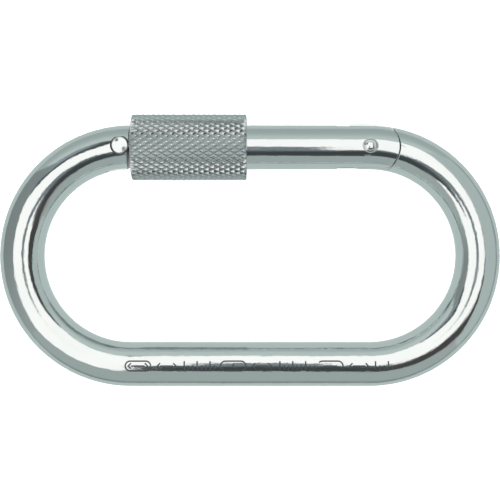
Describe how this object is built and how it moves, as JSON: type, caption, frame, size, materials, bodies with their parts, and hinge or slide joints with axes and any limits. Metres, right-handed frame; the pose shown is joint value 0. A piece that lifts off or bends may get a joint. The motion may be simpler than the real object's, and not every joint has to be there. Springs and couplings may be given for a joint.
{
  "type": "screw-lock oval carabiner",
  "caption": "Oval steel carabiner: bent round bar with a hinged sprung gate, closed by a knurled threaded locking sleeve.",
  "frame": {"origin": "centre of the whole object's box, with the gate shut and the sleeve screwed up to the nose", "axes": "+X towards the hinge end, +Y from the spine to the gate, +Z across the bar, out of the plane of the oval"},
  "size_m": [0.1358, 0.074, 0.018],
  "materials": {
    "polished_bar": "polished",
    "polished_gate": "polished",
    "knurled_sleeve": "gloss",
    "rivet": "polished",
    "inner_steel": "satin",
    "spring_steel": "satin"
  },
  "bodies": {
    "frame": {"frame_bar": "polished_bar", "latch_rivet": "rivet"},
    "gate": {"gate": "polished_gate", "hinge_rivet": "rivet", "gate_spring": "spring_steel"},
    "plunger": {"gate_plunger": "inner_steel"},
    "ring": {"stop_ring": "spring_steel"},
    "sleeve": {"locking_sleeve": "knurled_sleeve"}
  },
  "joints": [
    {"name": "gate_hinge", "type": "hinge", "parent": "frame", "child": "gate", "pos_m": [0.0323, 0.028, 0], "axis": [0, 0, 1], "range_deg": [0, 30], "stiffness_Nm_per_rad": 0.13, "springref_deg": -52.71},
    {"name": "plunger_slide", "type": "slide", "parent": "gate", "child": "plunger", "axis": [-1, 0, 0], "range_m": [0, 0.00116], "deforming": ["gate_spring"]},
    {"name": "sleeve_travel", "type": "slide", "parent": "gate", "child": "ring", "axis": [1, 0, 0], "range_m": [0, 0.0088]},
    {"name": "sleeve_turn", "type": "hinge", "parent": "ring", "child": "sleeve", "pos_m": [-0.011, 0.028, 0], "axis": [1, 0, 0], "range_deg": [0, 1800]}
  ],
  "couplings": [
    {"joint": "plunger_slide", "follows": "gate_hinge", "m_per_rad": 0.0022},
    {"joint": "sleeve_travel", "follows": "sleeve_turn", "m_per_rad": 0.00027852}
  ]
}
